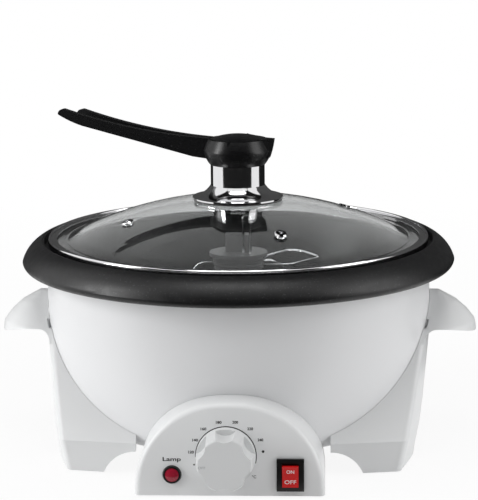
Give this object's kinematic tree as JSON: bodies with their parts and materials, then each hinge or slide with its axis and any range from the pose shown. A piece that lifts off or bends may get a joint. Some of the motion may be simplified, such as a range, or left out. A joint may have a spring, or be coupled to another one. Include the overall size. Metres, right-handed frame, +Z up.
{
  "type": "home coffee bean roaster",
  "caption": "Countertop drum-free coffee bean roaster: heated round pan with a motor-driven wire stirrer, loose domed glass lid, temperature dial, power rocker and lamp.",
  "frame": {"origin": "on the pan's axis at the level of the table, under the middle of the four feet", "axes": "+Z up along the pan's axis; the control panel faces -Y; the two ears stand out along +X and -X"},
  "size_m": [0.3206, 0.3139, 0.2184],
  "materials": {
    "bowl_white": "satin white enamel",
    "white_plastic": "semi-gloss white",
    "dial_plastic": "semi-gloss white",
    "nonstick_black": "matte speckled non-stick coating",
    "dark_plastic": "matte black",
    "knob_black": "gloss black phenolic",
    "clear_glass": "tempered clear glass",
    "chrome": "polished",
    "steel": "stamped and drawn steel",
    "wire_steel": "bright drawn wire",
    "hub_grey": "dark grey heat-resistant plastic",
    "seal_rubber": "matte silicone",
    "foot_rubber": "matte",
    "brass": "turned",
    "ceramic": "unglazed ceramic",
    "element_steel": "heat-darkened sheath",
    "red_lens": "deep red, clear gloss",
    "red_rocker": "bright red, lit",
    "black_bezel": "semi-gloss black"
  },
  "bodies": {
    "base": {"bowl_shell": "bowl_white", "bottom_cover": "steel", "cover_screws": "steel", "bracket_screws": "steel", "motor_bracket_screws": "steel", "side_bracket_left": "white_plastic", "side_bracket_right": "white_plastic", "foot_pads": "foot_rubber", "control_housing": "white_plastic", "control_floor": "dark_plastic", "terminal_block": "ceramic", "thermostat_body": "dark_plastic", "thermostat_screws": "steel", "lamp_bezel": "black_bezel", "lamp_lens": "red_lens", "lamp_bulb": "clear_glass", "switch_housing": "black_bezel", "pan": "nonstick_black", "pan_seat_ring": "dark_plastic", "heating_element": "element_steel", "element_clips": "ceramic", "heat_shield": "steel", "motor_bracket": "steel", "gear_motor": "steel", "motor_screws": "steel", "shaft_bush": "brass", "thermostat_bulb": "brass", "thermal_fuse": "steel", "cord_gland": "dark_plastic"},
    "lid": {"lid_glass": "clear_glass", "lid_vents": "chrome", "lid_ring": "chrome", "lid_gasket": "seal_rubber", "lid_skirt": "chrome", "lid_sleeve": "chrome", "lid_handle": "knob_black", "handle_cap": "knob_black", "lid_washer": "seal_rubber", "lid_screw": "steel"},
    "stirrer": {"drive_shaft": "steel", "stirrer_hub": "hub_grey", "stirrer_grip": "hub_grey", "stirrer_arms": "wire_steel", "lift_loop": "wire_steel"},
    "dial": {"temperature_knob": "dial_plastic", "thermostat_shaft": "brass"},
    "rocker": {"switch_rocker": "red_rocker"}
  },
  "joints": [
    {"name": "lid_lift", "type": "slide", "parent": "base", "child": "lid", "axis": [0, 0, 1], "range_m": [0, 0.15]},
    {"name": "stirrer_spin", "type": "hinge", "parent": "base", "child": "stirrer", "pos_m": [0, 0, 0.08], "axis": [0, 0, 1], "continuous": true},
    {"name": "dial_turn", "type": "hinge", "parent": "base", "child": "dial", "pos_m": [-0.0021, -0.14715, 0.026], "axis": [0, -0.9998, 0.0175], "range_deg": [-188, 0]},
    {"name": "rocker_press", "type": "hinge", "parent": "base", "child": "rocker", "pos_m": [0.0374, -0.14735, 0.0144], "axis": [1, 0, 0], "range_deg": [-16, 0]}
  ]
}
